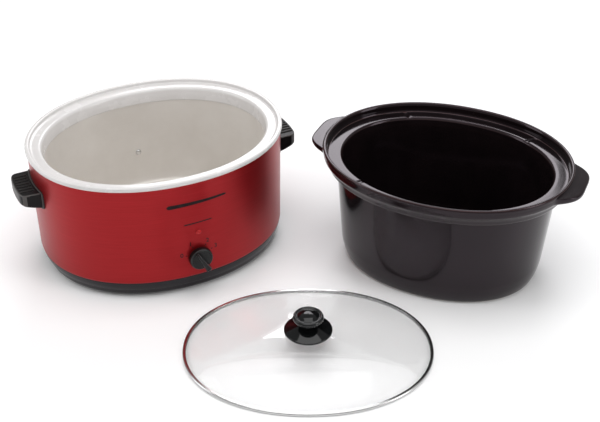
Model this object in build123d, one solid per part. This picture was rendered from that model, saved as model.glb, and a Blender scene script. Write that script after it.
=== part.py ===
from build123d import *
import math
import os

# Oval slow cooker, laid out in three groups that stand on one table plane:
# the heating base, the stoneware crock taken out of it, and the glass lid.
# Millimetres, +Z up. Every oval is a slightly squared ellipse given by its
# two half-axes and a height, and every shell is a skin over such ovals.

# ---------------------------------------------------------------- dimensions
SQUARE = 2.1            # 2 is a plain ellipse; a little more fills the corners
KNOTS = 48              # points that carry each oval

# place of the layout: the base's own centre, seen from the row's origin
ORIGIN_X = 160.176
ORIGIN_Y = -167.335
CROCK_X, CROCK_Y, CROCK_TURN = 371.7, -234.2, -48.6
LID_X, LID_Y, LID_TURN = 90.5, -350.4, -25.1

# heating base
SHELL_BOTTOM = 29.4
SHELL_TOP = 192.6
SHELL_LOW = (190.8, 157.4)
SHELL_HIGH = (192.6, 158.6)
SHELL_WALL = 1.0
RIM_TOP = 197.1
SEAT_Z = 191.1          # flat ring that the crock's shoulder rests on
MOUTH_Z = 170.4         # underside of the collar, top of the well's flange
WELL_WALL = 1.0
PLATE_LOW, PLATE_TOP = 6.8, 8.0
FOOT_R, FOOT_STEM_R = 10.0, 3.0
FEET_AT = [(120, 84), (-120, 84), (-120, -84), (120, -84)]

# control column on the front wall
DIAL_X, DIAL_Z = 5.0, 61.5
DIAL_FACE_Y = -157.65   # outside of the shell wall at the dial
KNOB_R, KNOB_GAP, KNOB_THICK, GRIP_OUT = 18.0, 1.6, 9.0, 13.5
POINTER_DEG = 117.5     # rest position, seen from the front
SHAFT_R, SHAFT_GAP = 3.0, 0.05
BUSH_R = 4.4
LAMP_X, LAMP_Z, LENS_R = 5.0, 105.3, 4.3

# handles
HANDLE_TIP = 221.1
HANDLE_TOP, HANDLE_BOTTOM = 153.7, 131.0
HANDLE_SCREW_Y, HANDLE_SCREW_Z = 17.0, 142.0

# cord inlet at the back
INLET_X, INLET_Z, INLET_BORE_R = 0.0, 50.0, 3.5

# crock
CROCK_H = 188.5
SHOULDER_Z = 158.5
LEDGE_Z = 174.2

# lid
LID_RIM = (176.0, 135.0)
GLASS_TOP = 36.0
GLASS_UNDER = 32.4


# ------------------------------------------------------------------- helpers
def unit_oval(u, n=SQUARE):
    c, s = math.cos(u), math.sin(u)
    r = (abs(c) ** n + abs(s) ** n) ** (-1 / n)
    return r * c, r * s


def oval_edge(a, b, z):
    pts = []
    for i in range(KNOTS):
        x, y = unit_oval(2 * math.pi * i / KNOTS)
        pts.append(Vector(a * x, b * y, z))
    return Edge.make_spline(pts, periodic=True,
                            parameters=[i / KNOTS for i in range(KNOTS + 1)])


def skin(sections, closed=False):
    """Solid over ovals (a, b, z). closed: the profile is a loop, so a ring."""
    edges = [oval_edge(*s) for s in sections]
    pairs = list(zip(range(len(edges) - 1), range(1, len(edges))))
    if closed:
        pairs.append((len(edges) - 1, 0))
    faces = []
    for i, j in pairs:
        if abs(sections[i][2] - sections[j][2]) < 1e-6:
            o, n = (i, j) if sections[i][0] > sections[j][0] else (j, i)
            faces.append(Face(Wire([edges[o]]), [Wire([edges[n]])]))
        else:
            faces.append(Face.make_surface_from_curves(edges[i], edges[j]))
    if not closed:
        faces.append(Face(Wire([edges[0]])))
        faces.append(Face(Wire([edges[-1]])))
    return Solid(Shell(faces))


def between(s, t, z):
    """Oval at height z on the straight skin from section s to section t."""
    k = (z - s[2]) / (t[2] - s[2])
    return (s[0] + k * (t[0] - s[0]), s[1] + k * (t[1] - s[1]), z)


def grow(s, d, z=None):
    return (s[0] + d, s[1] + d, s[2] if z is None else z)


def rod(r, length, at, direction=(0, 0, 1)):
    p = Plane(origin=at, z_dir=direction)
    return Solid.make_cylinder(r, length, p)


def ring(r_out, r_in, length, at, direction=(0, 0, 1)):
    return rod(r_out, length, at, direction) - rod(r_in, length + 2,
        tuple(Vector(*at) - Vector(*direction).normalized()), direction)


def block(x0, x1, y0, y1, z0, z1):
    return Solid.make_box(x1 - x0, y1 - y0, z1 - z0, Plane(origin=(x0, y0, z0)))


def turned(profile, at, direction):
    """Solid of revolution: profile of (radius, distance along direction)."""
    pts = [(r, 0, w) for r, w in profile]
    face = Face(Wire.make_polygon([Vector(*p) for p in pts], close=True))
    s = Solid.revolve(face, 360, Axis((0, 0, 0), (0, 0, 1)))
    pl = Plane(origin=at, z_dir=direction)
    return s.moved(Location(pl))


def tube_path(points, r):
    path = Edge.make_spline([Vector(*p) for p in points])
    start = Plane(origin=path @ 0, z_dir=path % 0)
    face = Face(Wire([Edge.make_circle(r, start)]))
    return Solid.sweep(face, Wire([path]))


def one(shape):
    """The biggest solid of a boolean's result."""
    ss = shape.solids()
    return max(ss, key=lambda s: s.volume)


parts = {}


def put(name, shape, group=None):
    """Keeps a node in the row frame; a list is a group of separate solids."""
    base = Location((-ORIGIN_X, -ORIGIN_Y, 0))
    if group == "crock":
        base = Location((CROCK_X - ORIGIN_X, CROCK_Y - ORIGIN_Y, 0), (0, 0, CROCK_TURN))
    if group == "lid":
        base = Location((LID_X - ORIGIN_X, LID_Y - ORIGIN_Y, 0), (0, 0, LID_TURN))
    if isinstance(shape, (list, tuple)):
        parts[name] = Compound([one(s).moved(base) for s in shape])
    else:
        parts[name] = one(shape).moved(base)


# ================================================================= the base
shell_lo = (*SHELL_LOW, SHELL_BOTTOM)
shell_hi = (*SHELL_HIGH, SHELL_TOP)
shell_solid = skin([shell_lo, shell_hi])
shell = skin([shell_lo, shell_hi, grow(shell_hi, -SHELL_WALL),
              grow(shell_lo, -SHELL_WALL)], closed=True)

DIAL = (DIAL_X, DIAL_FACE_Y, DIAL_Z)
FRONT = (0, -1, 0)
# openings in the shell: dial bush, pilot lens, cord inlet, handle screws
shell = shell - rod(BUSH_R, 40, (DIAL_X, -140, DIAL_Z), FRONT)
shell = shell - rod(LENS_R - 0.6, 40, (LAMP_X, -140, LAMP_Z), FRONT)
shell = shell - rod(6.0, 40, (INLET_X, 140, INLET_Z), (0, 1, 0))
for sx in (-1, 1):
    for sy in (-1, 1):
        shell = shell - rod(2.2, 40, (sx * 170, sy * HANDLE_SCREW_Y, HANDLE_SCREW_Z), (sx, 0, 0))
shell = one(shell)
# the wrap is four panels that butt together at the corners of the oval
CORNER = (260.0, 214.0)
PANELS = {
    "outer_shell_front": [(-CORNER[0], -CORNER[1]), (CORNER[0], -CORNER[1])],
    "outer_shell_right": [(CORNER[0], -CORNER[1]), (CORNER[0], CORNER[1])],
    "outer_shell_back": [(CORNER[0], CORNER[1]), (-CORNER[0], CORNER[1])],
    "outer_shell_left": [(-CORNER[0], CORNER[1]), (-CORNER[0], -CORNER[1])]}
for panel, (p, q) in PANELS.items():
    sector = Solid.extrude(Face(Wire.make_polygon(
        [Vector(0, 0, 0), Vector(*p, 0), Vector(*q, 0)], close=True)), Vector(0, 0, 220))
    put(panel, one(shell & sector))

# rim collar: rounded bead over the shell's edge, seat ring, short funnel
collar = skin([
    (194.7, 159.8, 190.4), (195.4, 160.5, 192.2), (195.4, 160.5, 194.2),
    (194.6, 159.7, 195.9), (193.0, 158.1, 197.0), (191.2, 156.5, RIM_TOP),
    (189.6, 155.1, 196.5), (188.6, 154.1, 195.0), (188.1, 153.6, 193.0),
    (187.0, 152.5, 191.7), (185.0, 150.5, SEAT_Z), (172.6, 138.4, SEAT_Z),
    (171.4, 136.8, 190.2), (170.6, 135.6, 187.0), (169.2, 133.6, 178.0),
    (168.4, 132.6, 171.4), (168.8, 133.0, MOUTH_Z), (171.0, 136.6, MOUTH_Z),
    (172.9, 138.8, 188.6), (186.0, 151.4, 188.6), (189.0, 154.6, 182.6),
    (191.2, 157.2, 182.6), (191.5, 157.5, 191.6), (191.5, 157.5, SHELL_TOP),
    (192.8, 158.8, SHELL_TOP), (192.8, 158.8, 190.4)], closed=True)
screw_at = []
for deg in (25, 90, 155, 205, 270, 335):
    x, y = unit_oval(math.radians(deg))
    screw_at.append((177.6 * x, 143.8 * y))
for x, y in screw_at:
    collar = collar + rod(3.6, 189.2 - MOUTH_Z, (x, y, MOUTH_Z))
for x, y in screw_at:
    collar = collar - rod(1.6, 10, (x, y, MOUTH_Z - 0.5))
put("rim_collar", one(collar))
put("collar_screws", [
    turned([(0, -9), (1.6, -9), (1.6, 0), (3.4, 0), (3.4, 2.2), (0, 2.2)],
           (x, y, MOUTH_Z - WELL_WALL), (0, 0, -1)) for x, y in screw_at])

# heating well: pressed sheet liner with a flange under the collar
w_in = [(169.2, 133.6, MOUTH_Z), (161.0, 127.6, 42.0), (160.0, 126.6, 35.0),
        (157.6, 124.2, 30.0), (153.4, 120.0, 26.8), (148.0, 114.6, 26.0),
        (144.5, 111.1, 26.0), (143.0, 109.6, 24.8)]
w_out = [(170.2, 134.6, MOUTH_Z - WELL_WALL), (162.0, 128.6, 41.9),
         (161.0, 127.6, 34.8), (158.4, 125.0, 29.4), (153.9, 120.5, 25.8),
         (148.2, 114.8, 25.0), (144.1, 110.7, 25.0), (142.6, 109.2, 23.8)]
# the wall is skinned in bands, so the rivet's hole lies in a narrow one
BANDS = (62.0, 79.0, 90.0, 116.0, 143.0)
in_bands = [between(w_in[1], w_in[0], z) for z in BANDS]
out_bands = [between(w_out[1], w_out[0], z) for z in reversed(BANDS)]
well = skin([w_in[7], w_in[6], w_in[5], w_in[4], w_in[3], w_in[2], w_in[1]] + in_bands
            + [w_in[0], (182.0, 148.4, MOUTH_Z), (182.0, 148.4, MOUTH_Z - WELL_WALL),
               w_out[0]] + out_bands + w_out[1:])
for x, y in screw_at:
    well = well - rod(1.8, 6, (x, y, MOUTH_Z - 3))
RIVET_X, RIVET_Z = 7.5, 84.5
well = well - rod(1.6, 30, (RIVET_X, 115, RIVET_Z), (0, 1, 0))
put("heating_well", one(well))

def well_wall_y(z, x, outer=True):
    s = between(w_out[1], w_out[0], z) if outer else between(w_in[1], w_in[0], z)
    return s[1] * (1 - (abs(x) / s[0]) ** SQUARE) ** (1 / SQUARE)

ry_in, ry_out = well_wall_y(RIVET_Z, RIVET_X, False), well_wall_y(RIVET_Z, RIVET_X)
rivet = turned([(0, -2.4), (2.2, -2.25), (3.9, -1.5), (4.8, -0.6), (1.55, -0.2), (1.55, 3.4),
                (2.8, 3.4), (2.8, 4.6), (0, 4.9)], (RIVET_X, ry_in, RIVET_Z), (0, 1, 0))
put("well_rivet", rivet)

# heater: flat sleeved element wrapped round the lower wall, with a clamp
def wall_ring(z0, z1, d0, d1):
    lo, hi = between(w_out[1], w_out[0], z0), between(w_out[1], w_out[0], z1)
    return skin([grow(lo, d0), grow(hi, d0), grow(hi, d1), grow(lo, d1)], closed=True)

put("heater_band", wall_ring(46.0, 76.0, 0.0, 3.2))
strap = wall_ring(57.0, 65.0, 3.2, 3.9)
CLAMP_X = -60.0
cy = well_wall_y(61.0, CLAMP_X) + 3.5
strap = strap - block(CLAMP_X - 3.8, CLAMP_X + 3.8, 100, 160, 50, 70)
for x0 in (CLAMP_X - 5.0, CLAMP_X + 3.8):
    ey = well_wall_y(61.0, x0 + 1.2) + 3.5
    ear = block(x0, x0 + 1.2, ey, cy + 11, 57.2, 64.8)
    ear = ear - rod(1.6, 30, (CLAMP_X - 15, cy + 7, 61), (1, 0, 0))
    strap = strap + ear
put("heater_strap", one(strap))
put("strap_bolt", turned([(0, 0), (3.0, 0), (3.0, 2.0), (1.55, 2.0), (1.55, 16), (0, 16)],
                         (CLAMP_X - 7.0, cy + 7, 61), (1, 0, 0)))

# thermal fuse under a spring clip on the back wall
fuse_y = ry_out + 3.0
fuse = rod(2.0, 12, (RIVET_X - 6, fuse_y, RIVET_Z + 11), (1, 0, 0)) + rod(
    0.6, 26, (RIVET_X - 13, fuse_y, RIVET_Z + 11), (1, 0, 0))
put("thermal_fuse", one(fuse))
clip = block(RIVET_X - 4, RIVET_X + 4, ry_out + 1.2, ry_out + 2.0, RIVET_Z - 5, RIVET_Z + 8.2)
clip = clip + block(RIVET_X - 4, RIVET_X + 4, ry_out + 1.2, ry_out + 6.0, RIVET_Z + 7.4, RIVET_Z + 8.2)
clip = clip + block(RIVET_X - 4, RIVET_X + 4, ry_out + 5.2, ry_out + 6.0, RIVET_Z + 7.4, RIVET_Z + 14.2)
clip = clip + block(RIVET_X - 4, RIVET_X + 4, ry_out + 3.2, ry_out + 6.0, RIVET_Z + 13.4, RIVET_Z + 14.2)
clip = clip - rod(1.6, 20, (RIVET_X, ry_out - 5, RIVET_Z), (0, 1, 0))
put("thermal_fuse_clip", one(clip))

# plinth: stepped black skirt under the shell, with a ledge for the plate
plinth = skin([
    (179.4, 149.2, 4.7), (182.0, 151.5, 7.0), (184.2, 153.1, 12.0), (184.8, 153.5, 15.6),
    (186.2, 154.7, 16.2), (188.2, 155.9, 21.0), (189.6, 156.7, 27.2), (190.2, 157.0, SHELL_BOTTOM),
    (189.5, 156.1, SHELL_BOTTOM), (189.6, 156.2, 40.0), (187.5, 154.1, 40.0),
    (186.9, 153.6, 28.0), (181.4, 150.0, 14.0), (176.5, 146.6, 10.4), (164.0, 134.0, 10.4),
    (164.0, 134.0, PLATE_TOP), (172.0, 142.0, PLATE_TOP), (172.0, 142.0, 4.7)], closed=True)
put("plinth", plinth)

# bottom plate with slots, feet and the tie that holds the stack together
plate = skin([(171.6, 141.6, PLATE_LOW), (171.6, 141.6, PLATE_TOP)])
for i in range(-3, 4):
    for sy in (-1, 1):
        if i == 0:
            continue
        plate = plate - block(i * 14 - 2, i * 14 + 2, sy * 55 - 16, sy * 55 + 16, 5, 10)
for x, y in FEET_AT:
    plate = plate - rod(FOOT_STEM_R, 6, (x, y, 4.5))
plate = plate - rod(3.1, 6, (0, 0, 4.5))
put("bottom_plate", one(plate))
put("rubber_feet", [
    turned([(0, 0), (FOOT_R - 2.0, 0), (FOOT_R - 1.0, 1.0), (FOOT_R, PLATE_LOW), (FOOT_STEM_R - 0.06, PLATE_LOW),
            (FOOT_STEM_R - 0.06, PLATE_TOP + 0.1), (4.0, PLATE_TOP + 0.1), (2.6, 12.5), (0, 12.5)],
           (x, y, 0), (0, 0, 1)) for x, y in FEET_AT])
put("tie_stud", rod(3.0, 20.2, (0, 0, 3.6)))
put("tie_washer", ring(9.0, 3.1, 1.0, (0, 0, PLATE_LOW - 1.0)))
nut = Solid.extrude(Face(Wire.make_polygon(
    [Vector(6 * math.cos(math.radians(60 * i)), 6 * math.sin(math.radians(60 * i)), PLATE_LOW - 4.6)
     for i in range(6)], close=True)), Vector(0, 0, 3.6))
put("tie_nut", one(nut - rod(3.05, 20, (0, 0, -2))))

# handles: black side grips against the shell, screwed on from inside
def handle(sx):
    plan = [(150, 36), (205, 35.2), (212, 34.4), (216.3, 31.5), (218.6, 26), (220.2, 16), (HANDLE_TIP, 0),
            (220.2, -16), (218.6, -26), (216.3, -31.5), (212, -34.4), (205, -35.2), (150, -36)]
    side = [(150, 127.5), (197, 129.0), (212, 132.2), (218, 134.4), (HANDLE_TIP, 138),
            (HANDLE_TIP, 150.6), (219.6, 152.8), (216.5, HANDLE_TOP), (150, HANDLE_TOP)]
    f = Face(Wire.make_polygon([Vector(sx * x, y, 120) for x, y in plan], close=True))
    g = Face(Wire.make_polygon([Vector(sx * x, -60, z) for x, z in side], close=True))
    h = Solid.extrude(f, Vector(0, 0, 60)) & Solid.extrude(g, Vector(0, 120, 0))
    flange_ring = skin([grow(between(shell_lo, shell_hi, 122), 3.2),
                        grow(between(shell_lo, shell_hi, 160), 3.2)])
    flange = flange_ring & block(min(sx * 150, sx * 230), max(sx * 150, sx * 230),
                                 -39.0, 39.0, 125.5, HANDLE_TOP + 2.0)
    h = (one(h) + one(flange)) - shell_solid
    h = one(h)
    for sy in (-1, 1):
        h = h - rod(2.0, 38, (sx * 170, sy * HANDLE_SCREW_Y, HANDLE_SCREW_Z), (sx, 0, 0))
    for k in range(-3, 4):
        y = k * 7.6
        h = h - block(min(sx * 197, sx * 215), max(sx * 197, sx * 215), y - 2.0, y + 2.0,
                      HANDLE_TOP - 2.4, HANDLE_TOP + 1)
    return one(h)

put("handle_left", handle(-1))
put("handle_right", handle(1))
inner_lo, inner_hi = grow(shell_lo, -SHELL_WALL), grow(shell_hi, -SHELL_WALL)
backing = skin([grow(between(inner_lo, inner_hi, 132), -0.05), grow(between(inner_lo, inner_hi, 152), -0.05),
                grow(between(inner_lo, inner_hi, 152), -1.4),
                grow(between(inner_lo, inner_hi, 132), -1.4)], closed=True)
plates, screws = [], []
for sx in (-1, 1):
    p = backing & block(min(sx * 150, sx * 200), max(sx * 150, sx * 200), -26, 26, 130, 154)
    p = one(p)
    for sy in (-1, 1):
        p = p - rod(2.2, 38, (sx * 170, sy * HANDLE_SCREW_Y, HANDLE_SCREW_Z), (sx, 0, 0))
        screws.append(turned([(0, 0), (4.0, 0), (4.0, 2.4), (1.95, 2.4), (1.95, 19), (0, 19)],
                             (sx * 185.4, sy * HANDLE_SCREW_Y, HANDLE_SCREW_Z), (sx, 0, 0)))
    plates.append(one(p))
put("handle_plates", plates)
put("handle_screws", screws)

# rotary switch behind the dial
inner_y = DIAL_FACE_Y + SHELL_WALL
switch = block(DIAL_X - 12, DIAL_X + 12, inner_y + 0.9, inner_y + 15.5, DIAL_Z - 13, DIAL_Z + 13)
switch = switch + rod(BUSH_R - 0.1, 5.0, (DIAL_X, inner_y + 1.2, DIAL_Z), FRONT)
for dx, dz in ((-8, -16), (0, -16), (8, -16), (0, 14)):
    switch = switch + block(DIAL_X + dx - 1.6, DIAL_X + dx + 1.6, inner_y + 7.6, inner_y + 8.4,
                            DIAL_Z + dz - 2, DIAL_Z + dz + 4)
switch = switch - rod(SHAFT_R + SHAFT_GAP, 40, (DIAL_X, inner_y + 12.0, DIAL_Z), FRONT)
put("switch_body", one(switch))
nut2 = Solid.extrude(Face(Wire.make_polygon(
    [Vector(DIAL_X + 7.4 * math.cos(math.radians(60 * i)), DIAL_FACE_Y - 0.15,
            DIAL_Z + 7.4 * math.sin(math.radians(60 * i))) for i in range(6)], close=True)),
    Vector(0, -2.2, 0))
put("switch_nut", one(nut2 - rod(BUSH_R, 20, (DIAL_X, DIAL_FACE_Y + 8, DIAL_Z), FRONT)))

# pilot light: domed lens, glow lamp and push-on ring
lens = turned([(0, 8.0), (LENS_R - 1.2, 8.0), (LENS_R - 1.2, 0.9), (LENS_R - 0.7, 0.9), (LENS_R - 0.7, -0.25),
               (LENS_R, -0.25), (LENS_R, -0.9), (LENS_R - 1.0, -1.9), (LENS_R - 2.4, -2.6), (0, -3.0)],
              (LAMP_X, -158.12, LAMP_Z), (0, 1, 0))
lens = lens - rod(LENS_R - 2.0, 14, (LAMP_X, -157.1, LAMP_Z), (0, 1, 0))
put("pilot_lens", one(lens))
put("pilot_lamp", turned([(0, 0), (1.6, 0.8), (2.1, 2.0), (2.1, 13), (0, 13)],
                         (LAMP_X, -156.5, LAMP_Z), (0, 1, 0)))
put("pilot_retainer", ring(LENS_R + 2.2, LENS_R - 1.15, 0.8, (LAMP_X, -156.3, LAMP_Z), (0, 1, 0)))

# cord inlet bush at the back, terminal block under it
inlet_y = 157.6
bush = turned([(INLET_BORE_R, -8.0), (8.2, -8.0), (8.2, -1.2), (5.9, -1.2), (5.9, 0.2), (8.4, 0.2),
               (8.4, 1.6), (6.6, 3.4), (INLET_BORE_R, 3.4)], (INLET_X, inlet_y, INLET_Z), (0, 1, 0))
put("cord_inlet_bush", bush)
term = block(-46, -16, 132, 144, PLATE_TOP + 2.4, PLATE_TOP + 16.4)
for i in (-1, 1):
    term = term - rod(2.4, 8, (-31 + i * 7.5, 138, PLATE_TOP + 10), (0, 0, 1))
    term = term - rod(1.6, 20, (-31 + i * 7.5, 128, PLATE_TOP + 7), (0, 1, 0))
put("terminal_block", one(term))

def lead(deg0, deg1, z0, z1, a, b, r=1.3, n=9):
    pts = []
    for i in range(n):
        k = i / (n - 1)
        x, y = unit_oval(math.radians(deg0 + (deg1 - deg0) * k))
        pts.append((a * x, b * y, z0 + (z1 - z0) * (3 * k * k - 2 * k ** 3)))
    return tube_path(pts, r)

put("internal_leads", [
    lead(118, 257, 30, 44, 175.0, 141.2),
    lead(98, -76, 34, 41, 176.5, 142.8),
    lead(97, 150, 100, 84, 178.5, 145.0),
])

# ============================================================ knob and shaft
KB = KNOB_GAP
knob = turned([(3.3, KB + 4.4), (9.2, KB + 4.4), (9.2, KB), (KNOB_R - 0.4, KB), (KNOB_R, KB + 0.6),
               (KNOB_R - 0.5, KB + KNOB_THICK - 1.4), (KNOB_R - 1.9, KB + KNOB_THICK),
               (0, KB + KNOB_THICK), (0, KB + KNOB_THICK - 1.2), (3.3, KB + KNOB_THICK - 1.2)],
              DIAL, FRONT)
pd = math.radians(POINTER_DEG)
ux, uz = math.cos(pd), math.sin(pd)
def knob_pt(u, v, w):
    return Vector(DIAL_X + u * ux - v * uz, DIAL_FACE_Y - w, DIAL_Z + u * uz + v * ux)
w0, w1 = KB + KNOB_THICK - 0.5, KB + KNOB_THICK + GRIP_OUT
low = Wire.make_polygon([knob_pt(16.2, 2.5, w0), knob_pt(16.2, -2.5, w0), knob_pt(-16.4, -5.8, w0),
                         knob_pt(-16.4, 5.8, w0)], close=True)
top = Wire.make_polygon([knob_pt(14.6, 1.6, w1), knob_pt(14.6, -1.6, w1), knob_pt(-14.4, -4.6, w1),
                         knob_pt(-14.4, 4.6, w1)], close=True)
grip = Solid.make_loft([low, top], ruled=True)
put("control_knob", one(knob + grip))
shaft = turned([(0, -9.0), (SHAFT_R, -9.0), (SHAFT_R, KB + 4.4), (3.3, KB + 4.4), (3.3, KB + KNOB_THICK - 1.2),
                (0, KB + KNOB_THICK - 1.2)], DIAL, FRONT)
put("switch_shaft", shaft)

# ===================================================================== crock
crock = skin([
    (140.0, 104.5, 0.0), (144.2, 108.6, 1.2), (147.6, 112.0, 4.2), (150.4, 114.9, 9.0),
    (153.0, 117.6, 18.0), (155.4, 120.2, 32.0), (165.5, 130.5, SHOULDER_Z),
    (177.4, 140.2, SHOULDER_Z), (178.6, 141.4, 159.6), (181.0, 143.8, 168.0), (184.4, 147.2, 176.0),
    (186.4, 149.2, 180.6), (186.9, 149.7, 185.4), (186.2, 149.0, 187.4), (184.2, 147.0, CROCK_H),
    (182.2, 145.0, 187.8), (180.8, 143.6, 185.0), (179.8, 142.6, 177.0), (178.8, 141.6, LEDGE_Z),
    (160.6, 125.0, LEDGE_Z), (159.0, 123.4, 173.6), (158.0, 122.4, 172.0), (156.6, 121.0, 165.0),
    (148.0, 112.8, 34.0), (146.0, 110.8, 22.0), (141.5, 106.3, 13.6), (133.0, 97.8, 9.0), (122.0, 86.8, 8.0)])
crock = crock - skin([(126.0, 90.5, -2.0), (126.0, 90.5, 1.6)])
# lugs level with the lip, one at each end
def lug(sx):
    plan = [(150, 64), (176, 62.5), (187, 58.5), (196, 51), (202.5, 42), (206.2, 31), (207.6, 14),
            (207.6, -14), (206.2, -31), (202.5, -42), (196, -51), (187, -58.5), (176, -62.5), (150, -64)]
    side = [(150, 170.6), (184, 171.2), (196, 172.6), (203.5, 174.6), (207.0, 177.2), (207.6, 179.6),
            (206.6, 181.8), (203.6, 183.2), (150, 183.4)]
    f = Face(Wire.make_polygon([Vector(sx * x, y, 160) for x, y in plan], close=True))
    g = Face(Wire.make_polygon([Vector(sx * x, -80, z) for x, z in side], close=True))
    return one(Solid.extrude(f, Vector(0, 0, 40)) & Solid.extrude(g, Vector(0, 160, 0)))
inside = skin([(182.0, 144.8, 160.0), (182.0, 144.8, 186.0)])
for sx in (-1, 1):
    crock = crock + one(lug(sx) - inside)
# drain notches across the lid ledge
for sx in (-1, 1):
    for sy in (-1, 1):
        d = Vector(96.4 * sx, 105.9 * sy, 0)
        ang = math.degrees(math.atan2(d.Y * 1.45, d.X))
        n = Box(26, 6, 2.4).moved(Location((d.X * 0.985, d.Y * 0.985, LEDGE_Z), (0, 0, ang)))
        crock = crock - n
put("crock", one(crock), "crock")

# ======================================================================= lid
glass = skin([
    (22.0, 15.0, GLASS_UNDER), (51.6, 36.0, 31.2), (83.5, 59.4, 28.0), (111.3, 80.8, 23.2),
    (135.0, 99.6, 17.2), (151.4, 113.2, 11.2), (162.6, 122.8, 5.4), (166.6, 126.4, 2.6), (170.6, 130.0, 0.7),
    (175.2, 134.2, 0.7), (175.2, 134.2, 4.2), (170.9, 130.2, 4.2), (168.2, 127.8, 5.2), (164.4, 124.4, 8.4),
    (153.2, 114.8, 14.6), (136.4, 100.8, 20.8), (112.3, 81.6, 26.8), (84.1, 59.9, 31.6),
    (52.0, 36.3, 34.8), (22.0, 15.0, GLASS_TOP)])
glass = glass - rod(4.2, 40, (0, 0, 10))
put("lid_glass", one(glass), "lid")
band = skin([
    (171.0, 130.3, 0.0), (175.4, 134.4, 0.0), (176.0, 135.0, 0.6), (176.0, 135.0, 4.3),
    (175.4, 134.4, 4.9), (171.2, 130.5, 4.9), (171.2, 130.5, 4.2), (175.2, 134.2, 4.2),
    (175.2, 134.2, 0.7), (171.0, 130.3, 0.7)], closed=True)
put("lid_rim_band", band, "lid")
UP = (0, 0, 1)
put("lid_knob_skirt", turned([
    (2.7, GLASS_TOP), (32.6, GLASS_TOP), (34.0, 36.5), (34.0, 37.4), (30.0, 39.4), (22.0, 42.2),
    (14.0, 45.2), (10.6, 47.0), (2.7, 47.0)], (0, 0, 0), UP), "lid")
put("lid_knob", turned([
    (0, 54.5), (2.5, 54.5), (2.5, 47.0), (10.6, 47.0), (9.4, 49.5), (9.6, 52.0), (13.0, 54.0),
    (20.4, 55.4), (21.5, 57.0), (21.5, 60.0), (20.0, 62.0), (18.0, 62.4), (16.4, 61.6), (14.6, 61.8),
    (11.0, 64.0), (5.0, 65.4), (0, 65.7)], (0, 0, 0), UP), "lid")
put("lid_gasket", turned([(2.7, 31.4), (9.0, 31.4), (9.0, 32.4), (4.1, 32.4), (4.1, 36.0), (2.7, 36.0)],
                         (0, 0, 0), UP), "lid")
put("lid_washer", ring(8.0, 2.7, 1.0, (0, 0, 30.4)), "lid")
put("lid_screw", turned([(0, 27.6), (3.6, 27.6), (5.4, 28.6), (5.8, 30.4), (2.5, 30.4), (2.5, 54.4), (0, 54.4)],
                        (0, 0, 0), UP), "lid")

# ==================================================================== output
os.makedirs("parts", exist_ok=True)
for name, shape in parts.items():
    export_step(shape, f"parts/{name}.step")
whole = Compound([s for shape in parts.values() for s in shape.solids()])
bb = whole.bounding_box()
print(len(parts), "nodes")
print("bbox", [round(v, 3) for v in (bb.min.X, bb.min.Y, bb.min.Z, bb.max.X, bb.max.Y, bb.max.Z)])
print("centre", round((bb.min.X + bb.max.X) / 2, 3), round((bb.min.Y + bb.max.Y) / 2, 3))
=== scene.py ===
import bpy
import bmesh
import math
import numpy as np
from mathutils import Matrix, Vector


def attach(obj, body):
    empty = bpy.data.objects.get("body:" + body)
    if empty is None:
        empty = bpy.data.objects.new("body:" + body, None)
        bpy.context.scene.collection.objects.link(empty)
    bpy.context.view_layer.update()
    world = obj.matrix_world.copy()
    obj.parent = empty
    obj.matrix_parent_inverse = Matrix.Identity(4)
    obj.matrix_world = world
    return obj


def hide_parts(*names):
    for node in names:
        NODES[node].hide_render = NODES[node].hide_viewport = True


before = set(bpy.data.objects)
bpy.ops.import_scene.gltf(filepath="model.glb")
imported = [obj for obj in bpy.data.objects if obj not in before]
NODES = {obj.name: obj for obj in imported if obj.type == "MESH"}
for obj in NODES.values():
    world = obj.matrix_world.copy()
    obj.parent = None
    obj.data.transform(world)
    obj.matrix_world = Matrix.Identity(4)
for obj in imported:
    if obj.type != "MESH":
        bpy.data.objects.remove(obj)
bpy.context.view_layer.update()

# ---------------------------------------------------------------- the layout
MM = 0.001
SQUARE = 2.1
ORIGIN_X, ORIGIN_Y = 160.176, -167.335
CROCK_X, CROCK_Y, CROCK_TURN = 371.7, -234.2, -48.6
LID_X, LID_Y, LID_TURN = 90.5, -350.4, -25.1


def place(group):
    if group == "crock":
        return (Matrix.Translation(((CROCK_X - ORIGIN_X) * MM, (CROCK_Y - ORIGIN_Y) * MM, 0))
                @ Matrix.Rotation(math.radians(CROCK_TURN), 4, "Z"))
    if group == "lid":
        return (Matrix.Translation(((LID_X - ORIGIN_X) * MM, (LID_Y - ORIGIN_Y) * MM, 0))
                @ Matrix.Rotation(math.radians(LID_TURN), 4, "Z"))
    return Matrix.Translation((-ORIGIN_X * MM, -ORIGIN_Y * MM, 0))


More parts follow.
